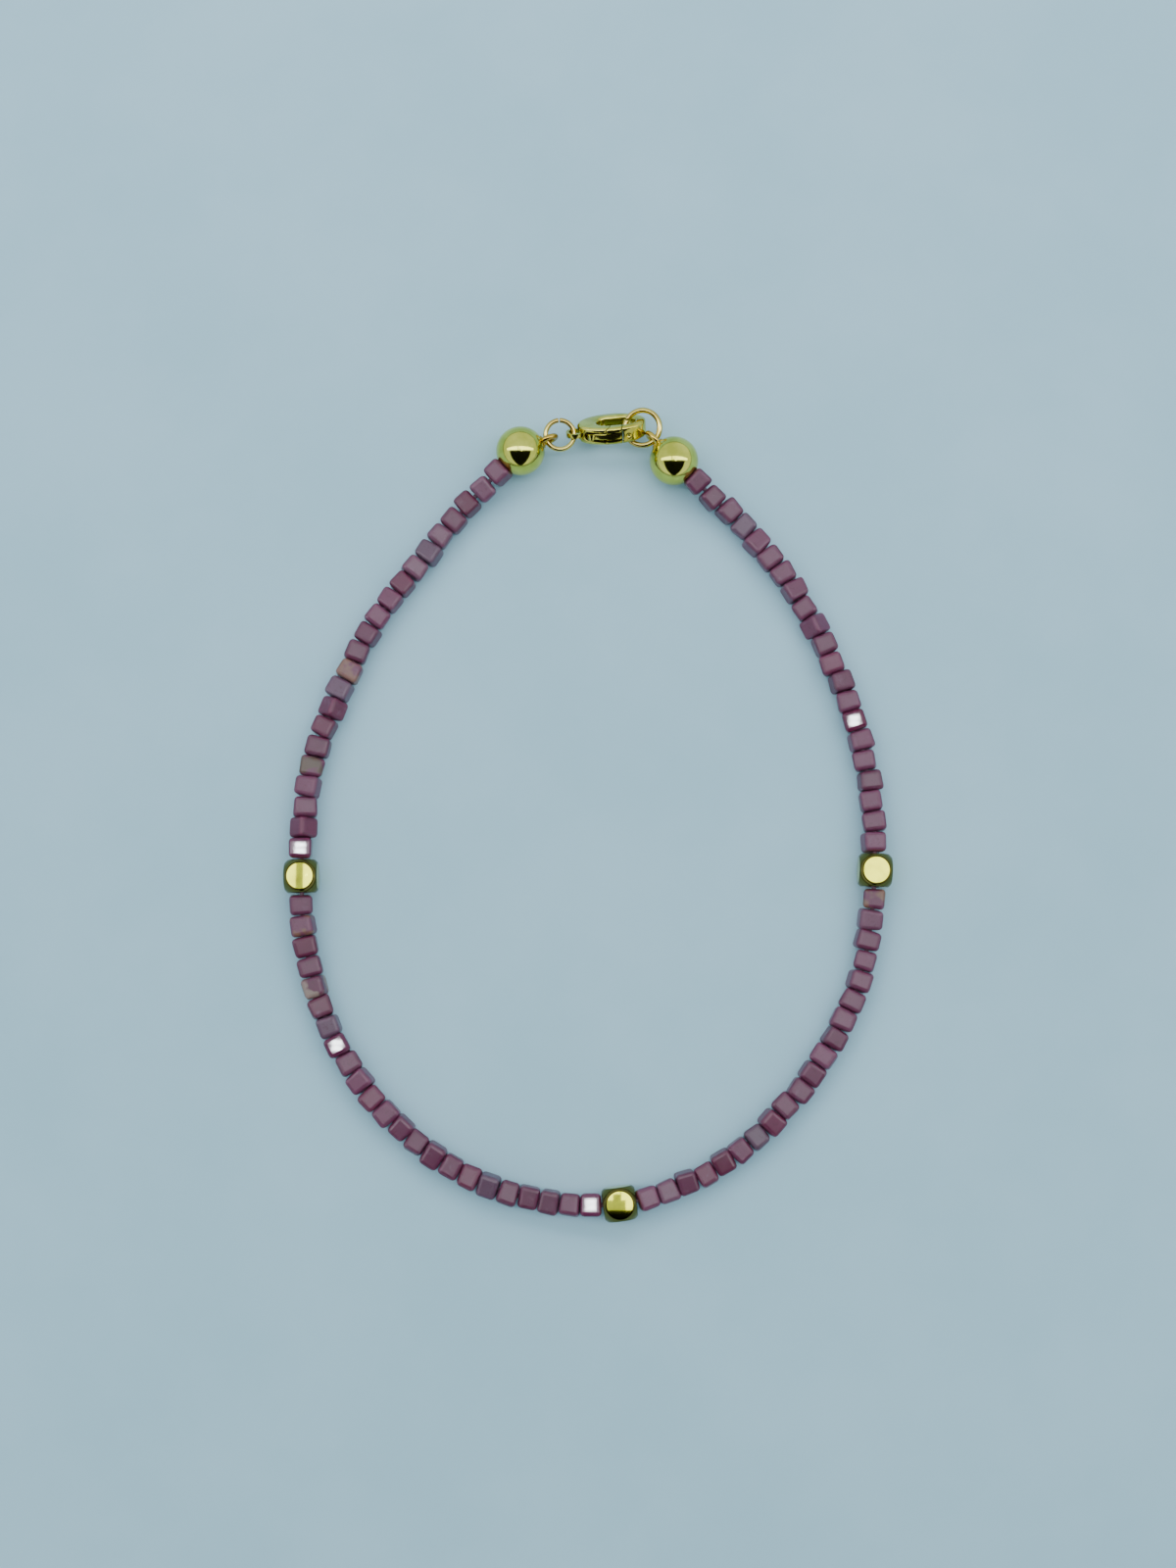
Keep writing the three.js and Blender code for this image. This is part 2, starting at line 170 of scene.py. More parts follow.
def add_panel(name, x_from, x_to, y_from, y_to, height, brightness):
    """A level panel, sized in metres; its brightness is what a mirror shows of it."""
    light = bpy.data.lights.new(name, "AREA")
    light.shape = "RECTANGLE"
    light.size, light.size_y = x_to - x_from, y_to - y_from
    light.energy = brightness * math.pi * light.size * light.size_y
    light.color = rgb(246, 252, 255)[:3]
    panel = bpy.data.objects.new(name, light)
    panel.location = ((x_from + x_to) / 2, (y_from + y_to) / 2, height)
    bpy.context.scene.collection.objects.link(panel)
    return panel


panel_height, panel_brightness = 0.62, 4.0
panels = {
    "strip_left": (-1.30, -0.130, -0.06, 0.12), "strip_middle": (-0.080, -0.035, -0.06, 0.12),
    "strip_centre": (-0.035, 0.012, -0.02, 0.12), "strip_right": (0.020, 1.30, -0.06, 0.12),
    "right_panel": (0.050, 0.105, -0.125, -0.06),
}
for name, reach in panels.items():
    add_panel(name, *reach, panel_height, panel_brightness)

ceiling_reach, ceiling_height, ceiling_brightness = 12.0, 1.4, 0.58
ceiling = add_panel("ceiling", -ceiling_reach, ceiling_reach, -ceiling_reach, ceiling_reach,
                    ceiling_height, ceiling_brightness)
ceiling.visible_diffuse = ceiling.visible_transmission = False

window_height, window_brightness = 0.28, 3.2
far_window = add_panel("far_window", -0.30, 0.30, 0.16, 0.34, window_height, window_brightness)
far_window.visible_glossy = False

lamp_place = Vector((-0.055, 0.03, panel_height - 0.01))
lamp_reach, lamp_bar, lamp_brightness = 0.0018, 0.0003, 110.0
for name, y_from, y_to in (("lamp_upper", lamp_bar, lamp_reach),
                           ("lamp_lower", -lamp_reach, -lamp_bar)):
    add_panel(name, lamp_place.x - lamp_reach, lamp_place.x + lamp_reach,
              lamp_place.y + y_from, lamp_place.y + y_to, lamp_place.z, lamp_brightness)

room_colour, room_strength = rgb(205, 236, 246), 0.66
world = bpy.data.worlds.new("plain_room")
world.use_nodes = True
room = world.node_tree.nodes["Background"]
room.inputs["Color"].default_value = room_colour
room.inputs["Strength"].default_value = room_strength
bpy.context.scene.world = world

card_finish, place, link = new_finish(
    "dark_card", {"Base Color": (0.004, 0.004, 0.004, 1), "Specular IOR Level": 0.0})
link(Roughness=0.9 + 0.1 * place.noise(0.05))
card_top, card_foot = Vector((0, -0.17, 0.90)), Vector((0, -0.56, 0.04))
card_width, foot_share = 2.30, 0.04
card_rise = card_top - card_foot
start_piece()
bpy.ops.mesh.primitive_plane_add(size=1, location=(card_top + card_foot) / 2,
                                 rotation=card_rise.to_track_quat("Y", "Z").to_euler())
card = bpy.context.object
card.name = "dark_card"
card.scale = (card_width, card_rise.length, 1)
bpy.ops.object.mode_set(mode="EDIT")
outline = bmesh.from_edit_mesh(card.data)
for corner in outline.verts:
    corner.select_set(corner.co.y < 0)
outline.select_flush(False)
bmesh.update_edit_mesh(card.data)
bpy.ops.transform.resize(value=(foot_share, 1, 1), center_override=card_foot)
bpy.ops.object.mode_set(mode="OBJECT")
card.data.materials.append(card_finish)
card.visible_camera = card.visible_diffuse = False
card.visible_shadow = card.visible_transmission = False


# Thread -------------------------------------------------------------------------------------------
# One thin twisted nylon thread runs through all the stones and cubes, from a knot in the left end
# ball to a knot in the right one. It lies in the oval that the bracelet is laid out in.

def box_mm(node):
    """A CAD node's lowest and highest corners at rest, in millimetres."""
    return [1000 * Vector(corner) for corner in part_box(node)]


def middle_mm(node):
    low, high = box_mm(node)
    return (low + high) / 2


def to_frame(piece, place=Matrix.Identity(4)):
    """Takes a piece made in millimetres to its place in metres, and puts it in its mesh."""
    start_piece()
    piece.matrix_world = Matrix.Scale(0.001, 4) @ place
    piece.select_set(True)
    bpy.context.view_layer.objects.active = piece
    bpy.ops.object.transform_apply(location=True, rotation=True, scale=True)


left_low, left_high = box_mm("end_ball_left")
right_low, right_high = box_mm("end_ball_right")
ball_radius = left_high.z / 2
left_ball = Vector((left_low.x + ball_radius, left_high.y - ball_radius, ball_radius))
right_ball = Vector((right_high.x - ball_radius, right_low.y + ball_radius, ball_radius))
ball_bore = 1.5
ball_gap = 0.14

stones_between_cubes = [22, 23, 20, 21]
cube_count = len(stones_between_cubes) - 1
stone_width, stone_length, stone_gap = 2.0, 1.71, 0.115
cube_width, cube_gap = 2.9, 0.18
stone_pitch = stone_length + stone_gap
cube_pitch = cube_width + 2 * cube_gap - stone_gap
ball_seat = math.sqrt(ball_radius ** 2 - (ball_bore / 2) ** 2) + ball_gap
string_length = (2 * ball_seat - stone_gap + sum(stones_between_cubes) * stone_pitch
                 + cube_count * cube_pitch)

stone_places, cube_places = [], []
reached = ball_seat - stone_gap
for section, count in enumerate(stones_between_cubes):
    for _ in range(count):
        stone_places.append(reached + stone_gap + stone_length / 2)
        reached += stone_pitch
    if section < cube_count:
        cube_places.append(reached + cube_gap + cube_width / 2)
        reached += cube_pitch

# The oval's points on the table in millimetres, from the left ball round to the right one.
string_route = [
    (-10.4, 25.3), (-15.1, 19.6), (-19.4, 13.6), (-22.5, 7.1), (-24.8, -0.1),
    (-25.25, -7.9), (-24.6, -15.7), (-22.1, -22.8), (-18.1, -28.7), (-11.9, -33.7), (-5.9, -36.3),
    (2.4, -36.9), (10.0, -34.5), (15.8, -30.1), (21.1, -23.5), (24.2, -16.2),
    (25.25, -8.2), (24.95, -0.4), (23.2, 6.9), (19.9, 14.5), (15.1, 21.6),
]
left_ring_in_plan = Vector((-2.5, 31.05))
rest_height, cube_lift_reach, ball_lift_reach = 1.05, 8.0, 9.0
steps_per_span = 52


def laid_route(spread):
    """The route's points, spread from the middle of the two balls, and the distance to each."""
    middle = ((left_ball + right_ball) / 2).xy
    shift = middle_mm("jump_ring_left").xy - left_ring_in_plan
    chosen = [middle + spread * (Vector(point) + shift - middle) for point in string_route]
    knots = [left_ball.xy, *chosen, right_ball.xy]
    knots = [2 * knots[0] - knots[1], *knots, 2 * knots[-1] - knots[-2]]
    points = [knots[1]]
    for before, start, end, after in zip(knots, knots[1:], knots[2:], knots[3:]):
        sides = (start - before, end - start, after - end)
        first, span, last = (math.sqrt(side.length) for side in sides)
        leave = (sides[0] / first - (end - before) / (first + span) + sides[1] / span) * span
        arrive = (sides[1] / span - (after - start) / (span + last) + sides[2] / last) * span
        for step in range(1, steps_per_span + 1):
            t = step / steps_per_span
            points.append(start + leave * t + (3 * (end - start) - 2 * leave - arrive) * t ** 2
                          + (2 * (start - end) + leave + arrive) * t ** 3)
    distances = [0.0]
    for a, b in zip(points, points[1:]):
        distances.append(distances[-1] + (b - a).length)
    return points, distances


# The oval is spread until the thread fits it.
least_spread, most_spread = 0.2, 5.0
for _ in range(30):
    spread = (least_spread + most_spread) / 2
    if laid_route(spread)[1][-1] < string_length:
        least_spread = spread
    else:
        most_spread = spread
route_points, route_distances = laid_route(least_spread)


def easing(distance, reach):
    """1 at no distance, and falling smoothly to 0 at the reach."""
    return (1 + math.cos(math.pi * distance / reach)) / 2 if distance < reach else 0


def string_point(distance):
    """The thread's place at a distance along it: low on the table, up at the cubes and balls."""
    share = min(max(distance / string_length, 0), 1) * route_distances[-1]
    after = next((i for i, passed in enumerate(route_distances) if passed >= share and i > 0),
                 len(route_distances) - 1)
    passed = route_distances[after - 1]
    along = (share - passed) / (route_distances[after] - passed)
    flat = route_points[after - 1].lerp(route_points[after], along)
    lift = easing(min(distance, string_length - distance), ball_lift_reach)
    height = rest_height + lift * (ball_radius - rest_height)
    for cube_place in cube_places:
        lift = easing(abs(distance - cube_place), cube_lift_reach)
        height += lift * (cube_width / 2 - rest_height)
    return Vector((flat.x, flat.y, height))


def string_frame(distance):
    """Side, up and forward at a distance along the thread, with its place."""
    step = stone_length / 4
    ahead, behind = min(distance + step, string_length), max(distance - step, 0)
    forward = (string_point(ahead) - string_point(behind)).normalized()
    side = Vector((0, 0, 1)).cross(forward).normalized()
    turn = Matrix((side, forward.cross(side), forward)).transposed().to_4x4()
    return Matrix.Translation(string_point(distance)) @ turn


thread_finish, place, link = new_finish("nylon_thread", {
    "Subsurface Weight": 0.3, "Subsurface Scale": 0.0004, "Subsurface Radius": (1.0, 0.7, 0.8)})
twist = place.node("ShaderNodeTexWave", {"bands_direction": "DIAGONAL"},
                   {"Vector": place, "Scale": 900.0, "Distortion": 1.5})
link(Base_Color=twist.mix(rgb(118, 78, 98), rgb(142, 104, 124)), Roughness=0.45 + 0.2 * twist,
     Normal=twist.bump(0.00003, 0.6))

thread_diameter, join_gap = 0.4, 0.3

# Each turn of a knot: its radius, its thread's radius, and the angles it is turned by.
knot_turns = ((0.62, 0.34, (0.9, 0.4, 0.3)), (0.52, 0.32, (-0.7, 0.8, 0.0)))

for side, knot_at, way in (("left", 0, -1), ("right", string_length, 1)):
    join_at = cube_places[1] + way * join_gap / 2
    curve = bpy.data.curves.new("thread_" + side, "CURVE")
    curve.dimensions = "3D"
    curve.bevel_depth = thread_diameter / 2
    curve.bevel_resolution = 2
    curve.use_fill_caps = True
    count = 2 * round(abs(join_at - knot_at) / stone_pitch)
    line = curve.splines.new("POLY")
    line.points.add(count)
    for i, point in enumerate(line.points):
        point.co = (*string_point(knot_at + (join_at - knot_at) * i / count), 1)
    thread = bpy.data.objects.new("thread_" + side, curve)
    bpy.context.scene.collection.objects.link(thread)
    start_piece()
    thread.select_set(True)
    bpy.context.view_layer.objects.active = thread
    bpy.ops.object.convert(target="MESH")
    thread = bpy.context.object
    start_piece()
    knot = []
    for turn_radius, turn_thickness, turned in knot_turns:
        bpy.ops.mesh.primitive_torus_add(
            major_radius=turn_radius, minor_radius=turn_thickness, major_segments=24,
            minor_segments=12, location=string_point(knot_at), rotation=turned)
        knot.append(bpy.context.object)
    for part in (*knot, thread):
        part.select_set(True)
    bpy.context.view_layer.objects.active = thread
    bpy.ops.object.join()
    to_frame(thread)
    thread.data.materials.clear()
    thread.data.materials.append(thread_finish)
    bpy.ops.object.shade_smooth_by_angle(angle=math.radians(50))
    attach(thread, "bracelet")
    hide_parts("bead_string_" + side)


# Stones -------------------------------------------------------------------------------------------
# Pink tourmaline cut into small drilled blocks with polished flat sides and narrow facets along
# all the edges. No two are quite the same size, shape, shade or cloudiness.

edge_rounding, edge_facets, longest_stone = 0.36, 3, 1.80
drill_hole, drill_sides = 0.62, 10


def apply_modifier(piece, kind, **settings):
    """Adds a modifier with these settings to a piece and applies it."""
    modifier = piece.modifiers.new(kind.lower(), kind)
    for name, value in settings.items():
        setattr(modifier, name, value)
    start_piece()
    piece.select_set(True)
    bpy.context.view_layer.objects.active = piece
    bpy.ops.object.modifier_apply(modifier=modifier.name)


def round_edges(piece, width, segments, least_degrees):
    """Bevels the edges at which the surface turns by more than this angle."""
    apply_modifier(piece, "BEVEL", width=width, segments=segments, limit_method="ANGLE",
                   angle_limit=math.radians(least_degrees))


def combine(piece, operation, cutter):
    """Cuts, crosses or joins a solid with another one, which is used up."""
    apply_modifier(piece, "BOOLEAN", operation=operation, solver="EXACT", object=cutter)
    bpy.data.objects.remove(cutter, do_unlink=True)


def round_bar(diameter, length, x=0, y=0, vertices=48):
    start_piece()
    bpy.ops.mesh.primitive_cylinder_add(vertices=vertices, radius=diameter / 2, depth=length,
                                        location=(x, y, 0))
    bar = bpy.context.object
    bpy.ops.object.transform_apply(location=True, rotation=True, scale=True)
    return bar


start_piece()
bpy.ops.mesh.primitive_cube_add(size=1)
stone = bpy.context.object
stone.name = "stone"
stone.scale = (stone_width, stone_width, longest_stone)
bpy.ops.object.transform_apply(location=False, rotation=False, scale=True)
round_edges(stone, edge_rounding, edge_facets, 60)
combine(stone, "DIFFERENCE", round_bar(drill_hole, 2 * stone_length, vertices=drill_sides))

tourmaline, place, link = new_finish("pink_tourmaline", {
    "IOR": 1.62, "Transmission Weight": 0.35, "Subsurface Weight": 0.6, "Subsurface Scale": 0.0012,
    "Subsurface Radius": (1.0, 0.45, 0.7), "Specular IOR Level": 0.35})
tone = place.node("ShaderNodeAttribute", {"attribute_name": "tone"}, out="Color")
polish = place.node("ShaderNodeAttribute", {"attribute_name": "tone"}, out="Alpha")
stain = place.node("ShaderNodeAttribute", {"attribute_name": "stain"}, out="Color")
stained = place.node("ShaderNodeAttribute", {"attribute_name": "stain"}, out="Alpha")
clouds = place.noise(0.0011, 3, 0.55, 0.4)
veins = place.noise(0.0004, 2, 0.6, 1.2)
milky = clouds.between(0.42, 0.75).mix(tone, rgb(136, 86, 116))
cloudy = (0.75 * clouds.between(0.55, 0.85)).mix(tone, milky)
veined = (0.35 * (1 - veins.between(0.30, 0.46))).mix(cloudy, rgb(86, 32, 54))
patched = (stained * place.noise(0.0014, 2, 0.5).between(0.42, 0.56)).mix(veined, stain)
link(Base_Color=patched, Roughness=(1 - polish) * (0.24 + 0.18 * clouds) + 0.02,
     Normal=((1 - polish) * veins).bump(0.00002, 0.3))

# The stones are numbered from the left ball. Most have the plain shade.
deep_stones = {3, 8, 15, 16, 21, 25, 28, 33, 39, 49, 50, 53, 72, 75}
grey_stones = {6, 14, 29, 40, 52, 83}
pale_stones = {2, 5, 7, 43, 47, 64}
deep_shade, grey_shade, pale_shade = (116, 36, 74), (110, 72, 96), (118, 62, 90)
plain_shade, shade_play = (116, 46, 82), 10
stained_stones = {13: rgb(150, 105, 92), 18: rgb(104, 78, 64), 24: rgb(140, 96, 72),
                  27: rgb(160, 132, 122), 65: rgb(140, 98, 80)}
stones_on_edge = {15, 21, 77}
glinting_stones = {22, 30, 45, 72}

# The stones next to a ball are pushed into its mouth a little, by these lengths along the thread.
stones_at_balls = {1: 0.26, 2: 0.16, 3: 0.08, 84: -0.08, 85: -0.16, 86: -0.26}

stone_roll, roll_step, on_edge_roll = math.radians(9), 2.4, math.radians(45)
taper_play, tip_play, yaw_play, aside_play = 0.07, 3, 6, 0.11
width_play, height_play, length_play = (0.92, 1.05), (0.92, 1.03), (0.93, 1.0)
left_stones = sum(stones_between_cubes[:2])


def taper(mesh, narrowing, shortening):
    """Narrows a stone towards one end and shortens it towards one side, as cutting by hand does."""
    for vertex in mesh.vertices:
        x, z = vertex.co.x, vertex.co.z
        vertex.co.x, vertex.co.z = x * (1 + narrowing * z), z * (1 + shortening * x)


chance = random.Random(11)
halves = {"left": [], "right": []}
for number, distance in enumerate(stone_places, 1):
    gem = stone.copy()
    gem.data = stone.data.copy()
    bpy.context.scene.collection.objects.link(gem)
    taper(gem.data, chance.uniform(-taper_play, taper_play),
          chance.uniform(-taper_play, taper_play))
    roll = on_edge_roll if number in stones_on_edge else stone_roll * math.sin(number * roll_step)
    tip = Matrix.Rotation(math.radians(chance.uniform(-tip_play, tip_play)), 4, "X")
    yaw = Matrix.Rotation(math.radians(chance.uniform(-yaw_play, yaw_play)), 4, "Y")
    size = Matrix.Diagonal((chance.uniform(*width_play), chance.uniform(*height_play),
                            chance.uniform(*length_play), 1))
    aside = Matrix.Translation((chance.uniform(-aside_play, aside_play), 0, 0))
    seat = string_frame(distance - stones_at_balls.get(number, 0)) @ aside
    if number in glinting_stones:
        centre = seat.translation / 1000
        to_lamp = (lamp_place - centre).normalized()
        to_camera = (camera.location - centre).normalized()
        aim = seat.col[1].xyz.rotation_difference(to_lamp + to_camera).to_matrix().to_4x4()
        gem.data.transform(Matrix.Translation(seat.translation) @ aim @ seat.to_3x3().to_4x4())
    else:
        gem.data.transform(seat @ Matrix.Rotation(roll, 4, "Z") @ tip @ yaw @ size)
    sunk = min(vertex.co.z for vertex in gem.data.vertices)
    gem.data.transform(Matrix.Translation((0, 0, max(0, -sunk))))
    if number in deep_stones:
        shade = deep_shade
    elif number in grey_stones:
        shade = grey_shade
    elif number in pale_stones:
        shade = pale_shade
    else:
        shade = plain_shade
    drift = chance.uniform(-shade_play, shade_play)
    own_tone = (*rgb(*(channel + drift for channel in shade))[:3], number in glinting_stones)
    own_stain = stained_stones.get(number, (0, 0, 0, 0))
    for name, colour in (("tone", own_tone), ("stain", own_stain)):
        layer = gem.data.color_attributes.new(name=name, type="FLOAT_COLOR", domain="POINT")
        for point in layer.data:
            point.color = colour
    halves["left" if number <= left_stones else "right"].append(gem)

for side, gems in halves.items():
    start_piece()
    for gem in gems:
        gem.select_set(True)
    bpy.context.view_layer.objects.active = gems[0]
    bpy.ops.object.join()
    stones = bpy.context.object
    stones.name = "stones_" + side
    to_frame(stones)
    stones.data.materials.clear()
    stones.data.materials.append(tourmaline)
    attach(stones, "bracelet")
    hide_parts("bead_string_" + side)
bpy.data.objects.remove(stone, do_unlink=True)


# Gold cubes ---------------------------------------------------------------------------------------
# Three gold-plated brass cubes, tumbled until their corners are round, each side left with a
# slightly domed round flat in a narrow ring, and drilled and strung between the stones. Their
# darker corners, rings and bore mouths are painted shade; the flats keep the gold's own colour.

def polished_gold(name, tone, deep_tone, roughness):
    """Bright gold plate, a little deeper in patches, with fine rubbing marks."""
    finish, place, link = new_finish(name, {"Metallic": 1.0})
    patches = place.noise(0.0022, 3, 0.55)
    rubbing = place.noise(0.00018, 3, 0.7, 0.6)
    link(Base_Color=patches.between(0.35, 0.7).mix(tone, deep_tone),
         Roughness=roughness + 0.08 * rubbing, Normal=rubbing.bump(0.000002, 0.1))
    return finish


cube_gold, place, link = new_finish("cube_gold", {"Metallic": 1.0})
# Its colour attribute is the gold's own colour on the flats, painted shade on corners and rims.
plating_and_painted_shade = place.node("ShaderNodeAttribute", {"attribute_name": "plating_and_painted_shade"}, out="Color")
rubbing = place.noise(0.0005, 3, 0.6, 0.4)
link(Base_Color=(0.3 * place.noise(0.0014, 3).between(0.4, 0.7)).mix(plating_and_painted_shade, rgb(84, 78, 30)),
     Roughness=0.03 + 0.06 * rubbing, Normal=rubbing.bump(0.000002, 0.1))
# Painted shade: darker corners and dark rims, for the dark room that the polished gold reflects.
flat_gold, corner_painted_shade, rim_painted_shade = rgb(206, 200, 62), rgb(108, 100, 50), rgb(34, 30, 14)
cube_corner_diameter, cube_bore, bore_softness, doming_lean = 3.8, 1.0, 0.05, 0.06
flat_radius = math.sqrt((cube_corner_diameter / 2) ** 2 - (cube_width / 2) ** 2)
rim_share, ring_shares = 0.94, (0.96, 0.78, 0.72, 0.60)
least_flat_area, nearly = 1, 0.001
cube_names = ("gold_cube_left", "gold_cube_bottom", "gold_cube_right")


def pick_faces(wanted):
    """Selects, in edit mode, only the faces that the test wants."""
    bpy.ops.mesh.select_mode(type="FACE")
    bpy.ops.mesh.select_all(action="DESELECT")
    mesh = bmesh.from_edit_mesh(bpy.context.object.data)
    mesh.normal_update()
    for face in mesh.faces:
        if wanted(face):
            face.select_set(True)
    bmesh.update_edit_mesh(bpy.context.object.data)


for name, distance in zip(cube_names, cube_places):
    start_piece()
    bpy.ops.mesh.primitive_uv_sphere_add(segments=96, ring_count=64,
                                         radius=cube_corner_diameter / 2)
    cube = bpy.context.object
    cube.name = "polished_" + name
    bpy.ops.mesh.primitive_cube_add(size=cube_width)
    combine(cube, "INTERSECT", bpy.context.object)
    bpy.ops.object.mode_set(mode="EDIT")
    for outward in (sign * axis for axis in Matrix.Identity(3) for sign in (1, -1)):
        pick_faces(lambda face: (face.normal.dot(outward) > 1 - nearly
                                 and face.calc_area() > least_flat_area))
        for share in (rim_share, *ring_shares):
            bpy.ops.mesh.extrude_region_move()
            bpy.ops.transform.resize(value=(share, share, share),
                                     center_override=outward * cube_width / 2)
    bpy.ops.object.mode_set(mode="OBJECT")
    bore = round_bar(cube_bore, 2 * cube_width)
    bore.rotation_euler = (math.pi / 2, 0, 0)
    combine(cube, "DIFFERENCE", bore)
    round_edges(cube, bore_softness, 2, 60)
    forward = string_frame(distance).col[2]
    turn = Matrix.Rotation(math.atan2(forward.y, forward.x) - math.pi / 2, 4, "Z")
    layer = cube.data.color_attributes.new(name="plating_and_painted_shade", type="FLOAT_COLOR", domain="POINT")
    normals = []
    for vertex, gold in zip(cube.data.vertices, layer.data):
        height = max(abs(co) for co in vertex.co)
        side = Vector([math.copysign(1, co) if abs(co) == height else 0 for co in vertex.co])
        lateral = vertex.co - vertex.co.dot(side) * side
        # Painted shade on the bore's mouth, on the corners and on the rim round each flat.
        if math.hypot(vertex.co.x, vertex.co.z) < cube_bore / 2 + 1.5 * bore_softness:
            gold.color = rim_painted_shade
            normals.append(vertex.normal.copy())
        elif height < cube_width / 2 - nearly:
            gold.color = corner_painted_shade
            normals.append(vertex.co.copy())
        else:
            on_flat = lateral.length < (rim_share - 0.01) * flat_radius
            gold.color = flat_gold if on_flat else rim_painted_shade
            normals.append(side + doming_lean * lateral)
    to_frame(cube, Matrix.Translation(middle_mm(name)) @ turn)
    cube.data.shade_smooth()
    turned = [(turn.to_3x3() @ normal).normalized() for normal in normals]
    cube.data.normals_split_custom_set_from_vertices(turned)
    cube.data.materials.append(cube_gold)
    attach(cube, "bracelet")
    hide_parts(name)


# End balls ----------------------------------------------------------------------------------------
# A hollow gold-plated ball closes over the knot at each end of the thread. The thread goes in at
# its rolled mouth, and a small round hoop is soldered on for the jump ring.

ball_gold = polished_gold("ball_gold", rgb(218, 211, 98), rgb(186, 183, 72), 0.06)
hoop_gold = polished_gold("hoop_gold", rgb(214, 182, 84), rgb(168, 120, 44), 0.08)
ball_wall, mouth_softness = 0.32, 0.08
ball_rings, mouth_rings = 45, 5
hoop_hole, hoop_wire, collar_diameter, collar_wire = 1.0, 0.5, 1.0, 0.2
left_hoop_angle, right_hoop_angle = math.radians(22.5), math.radians(133)
hoop_place, collar_place = ball_radius + 0.45, ball_radius - 0.05

for side, centre, hoop_angle, thread_at in (("left", left_ball, left_hoop_angle, 0),
                                            ("right", right_ball, right_hoop_angle, string_length)):
    start_piece()
    bpy.ops.mesh.primitive_uv_sphere_add(segments=96, ring_count=ball_rings, radius=ball_radius)
    ball = bpy.context.object
    ball.name = "polished_ball_" + side
    bpy.ops.object.mode_set(mode="EDIT")
    mouth_height = ball_radius * math.cos(math.pi * mouth_rings / ball_rings)
    pick_faces(lambda face: face.calc_center_median().z > mouth_height)
    bpy.ops.mesh.delete(type="FACE")
    bpy.ops.object.mode_set(mode="OBJECT")
    apply_modifier(ball, "SOLIDIFY", thickness=ball_wall, offset=-1, use_even_offset=True)
    round_edges(ball, mouth_softness, 4, 50)
    into = string_frame(thread_at).col[2].xyz * (1 if thread_at == 0 else -1)
    ball.rotation_euler = into.to_track_quat("Z", "Y").to_euler()
    start_piece()
    ball.select_set(True)
    bpy.ops.object.transform_apply(location=False, rotation=True, scale=False)
    outward = Vector((math.cos(hoop_angle), math.sin(hoop_angle), 0))
    start_piece()
    bpy.ops.mesh.primitive_torus_add(
        major_radius=collar_diameter / 2, minor_radius=collar_wire / 2, major_segments=40,
        minor_segments=12, location=collar_place * outward, rotation=(0, math.pi / 2, hoop_angle))
    collar = bpy.context.object
    bpy.ops.mesh.primitive_torus_add(
        major_radius=(hoop_hole + hoop_wire) / 2, minor_radius=hoop_wire / 2, major_segments=48,
        minor_segments=16, location=hoop_place * outward, rotation=(math.pi / 2, 0, hoop_angle))
    hoop = bpy.context.object
    hoop.name = "soldered_hoop_" + side
    collar.select_set(True)
    bpy.ops.object.join()
    start_piece()
    hoop.select_set(True)
    bpy.ops.object.transform_apply(location=True, rotation=True, scale=True)
    for piece, finish in ((ball, ball_gold), (hoop, hoop_gold)):
        to_frame(piece, Matrix.Translation(centre))
        bpy.ops.object.shade_smooth_by_angle(angle=math.radians(40))
        piece.data.materials.append(finish)
        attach(piece, "bracelet")
        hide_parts("end_ball_" + side)


# Jump rings ---------------------------------------------------------------------------------------
# Round gold-plated wire bent into a ring, with its two cut ends pressed together. The left ring
# holds the clasp's loop, and the clasp hooks into the right one.

wire_gold = polished_gold("wire_gold", rgb(220, 198, 110), rgb(196, 164, 84), 0.07)
ring_tilt, split, cut_softness = math.radians(10), math.radians(4), 0.04
left_ring_diameter, left_ring_wire = 3.0, 0.45
right_ring_diameter, right_ring_wire = 3.6, 0.50

for side, diameter, wire, tilt_axis_degrees, split_degrees in (
        ("left", left_ring_diameter, left_ring_wire, 22.5, 92),
        ("right", right_ring_diameter, right_ring_wire, -47, 150)):
    start_piece()
    bpy.ops.mesh.primitive_circle_add(
        vertices=16, radius=wire / 2, fill_type="NGON", location=((diameter - wire) / 2, 0, 0),
        rotation=(math.pi / 2, 0, 0))
    ring = bpy.context.object
    ring.name = "wire_ring_" + side
    bpy.ops.object.transform_apply(location=True, rotation=True, scale=True)
    bpy.ops.object.mode_set(mode="EDIT")
    bpy.ops.mesh.select_all(action="SELECT")
    bpy.ops.mesh.spin(steps=72, angle=2 * math.pi - split, center=(0, 0, 0), axis=(0, 0, 1))
    bpy.ops.mesh.select_all(action="SELECT")
    bpy.ops.mesh.normals_make_consistent(inside=False)
    bpy.ops.object.mode_set(mode="OBJECT")
    round_edges(ring, cut_softness, 2, 50)
    tilt_axis = math.radians(tilt_axis_degrees)
    tilt_line = Vector((math.cos(tilt_axis), math.sin(tilt_axis), 0))
    tilted = Matrix.Rotation(ring_tilt, 4, tilt_line)
    split_turn = Matrix.Rotation(math.radians(split_degrees), 4, "Z")
    to_frame(ring, Matrix.Translation(middle_mm("jump_ring_" + side)) @ tilted @ split_turn)
    bpy.ops.object.shade_smooth_by_angle(angle=math.radians(40))
    ring.data.materials.append(wire_gold)
    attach(ring, "bracelet")
    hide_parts("jump_ring_" + side)


# Clasp --------------------------------------------------------------------------------------------
# A cast lobster clasp, gold plated: a rounded body with an open throat, a loop at one end and a
# beak at the other. A slot along its front takes the lever, which turns on a riveted pin and shuts
# the throat.

